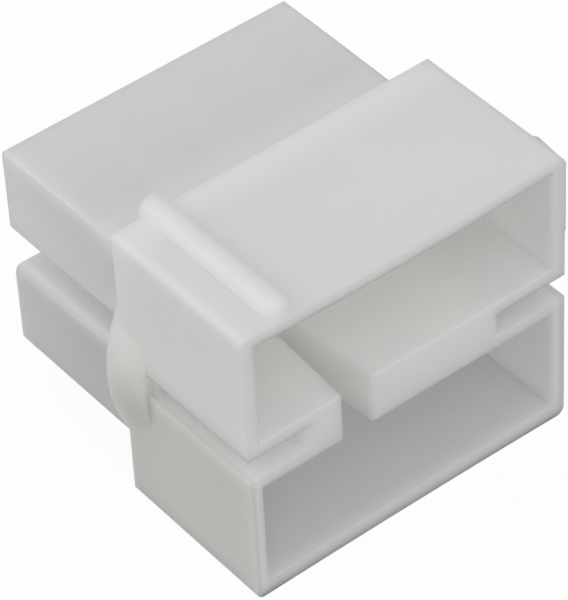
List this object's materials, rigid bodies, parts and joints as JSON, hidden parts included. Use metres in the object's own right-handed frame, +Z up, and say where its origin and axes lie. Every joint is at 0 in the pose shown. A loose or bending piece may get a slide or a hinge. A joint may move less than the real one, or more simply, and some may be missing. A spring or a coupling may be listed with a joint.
{
  "type": "wire connector housing",
  "caption": "Two-row moulded connector housing with a keyed double-mouthed shroud for a mating half and wire cavities for blade terminals behind it.",
  "frame": {"origin": "centre of the outer size at the underside", "axes": "+X across the cavities, +Y from the mouths to the wire end, +Z up through the two rows"},
  "size_m": [0.0292, 0.0278, 0.0246],
  "materials": {
    "natural_nylon": "translucent milky nylon with a soft satin skin from the mould"
  },
  "bodies": {
    "root": {"housing": "natural_nylon"}
  },
  "joints": []
}
